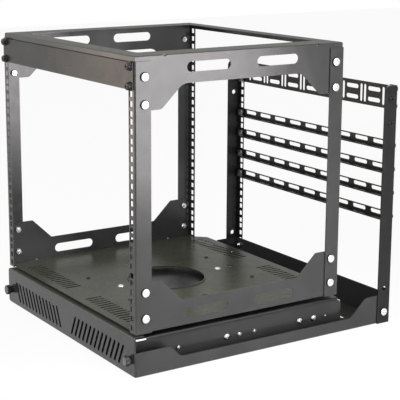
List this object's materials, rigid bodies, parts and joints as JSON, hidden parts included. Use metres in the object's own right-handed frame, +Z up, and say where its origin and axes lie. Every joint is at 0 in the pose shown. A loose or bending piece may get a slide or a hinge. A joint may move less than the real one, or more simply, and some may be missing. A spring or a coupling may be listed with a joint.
{
  "type": "rotating open frame rack",
  "caption": "Open frame equipment rack whose cage slides out of a low base pan and turns on a ring bearing, with a slotted cable frame behind it.",
  "frame": {"origin": "middle of the base pan's underside", "axes": "+Z up; -Y to the front, the way that the cage slides out; +X to the right, seen from the front"},
  "size_m": [0.493, 0.565, 0.532],
  "materials": {
    "powder_coat": "satin",
    "zinc": "satin",
    "knob_steel": "satin"
  },
  "bodies": {
    "base": {"base_pan": "powder_coat", "slide_bracket_left": "powder_coat", "slide_bracket_right": "powder_coat", "slide_outer_left": "zinc", "slide_outer_right": "zinc", "cable_post_left": "powder_coat", "cable_post_right": "powder_coat", "lacing_panel": "powder_coat", "lacer_bar_1": "powder_coat", "lacer_bar_2": "powder_coat", "lacer_bar_3": "powder_coat", "lacer_bar_4": "powder_coat"},
    "slide_middle": {"slide_middle_left": "zinc", "slide_middle_right": "zinc"},
    "carriage": {"tray": "powder_coat", "tray_rail_left": "powder_coat", "tray_rail_right": "powder_coat", "front_panel": "powder_coat", "slide_inner_left": "zinc", "slide_inner_right": "zinc", "bearing_lower": "zinc"},
    "cage": {"floor_plate": "powder_coat", "bearing_upper": "zinc", "post_front_left": "powder_coat", "post_front_right": "powder_coat", "post_rear_left": "powder_coat", "post_rear_right": "powder_coat", "top_frame": "powder_coat", "bottom_rail_left": "powder_coat", "bottom_rail_right": "powder_coat", "filler_panel": "powder_coat"},
    "thumb_knob_left": {"thumb_knob_left": "knob_steel"},
    "thumb_knob_right": {"thumb_knob_right": "knob_steel"}
  },
  "joints": [
    {"name": "carriage_slide", "type": "slide", "parent": "base", "child": "carriage", "axis": [0, -1, 0], "range_m": [0, 0.42]},
    {"name": "middle_slide", "type": "slide", "parent": "base", "child": "slide_middle", "axis": [0, -1, 0], "range_m": [0, 0.21]},
    {"name": "cage_turn", "type": "hinge", "parent": "carriage", "child": "cage", "pos_m": [0, -0.06275, 0.07175], "axis": [0, 0, 1], "range_deg": [-90, 90]},
    {"name": "thumb_screw_left", "type": "hinge", "parent": "carriage", "child": "thumb_knob_left", "pos_m": [-0.231, -0.28075, 0.0285], "axis": [0, -1, 0], "continuous": true},
    {"name": "thumb_screw_right", "type": "hinge", "parent": "carriage", "child": "thumb_knob_right", "pos_m": [0.231, -0.28075, 0.0285], "axis": [0, -1, 0], "continuous": true}
  ],
  "couplings": [
    {"joint": "middle_slide", "follows": "carriage_slide", "ratio": 0.5}
  ]
}
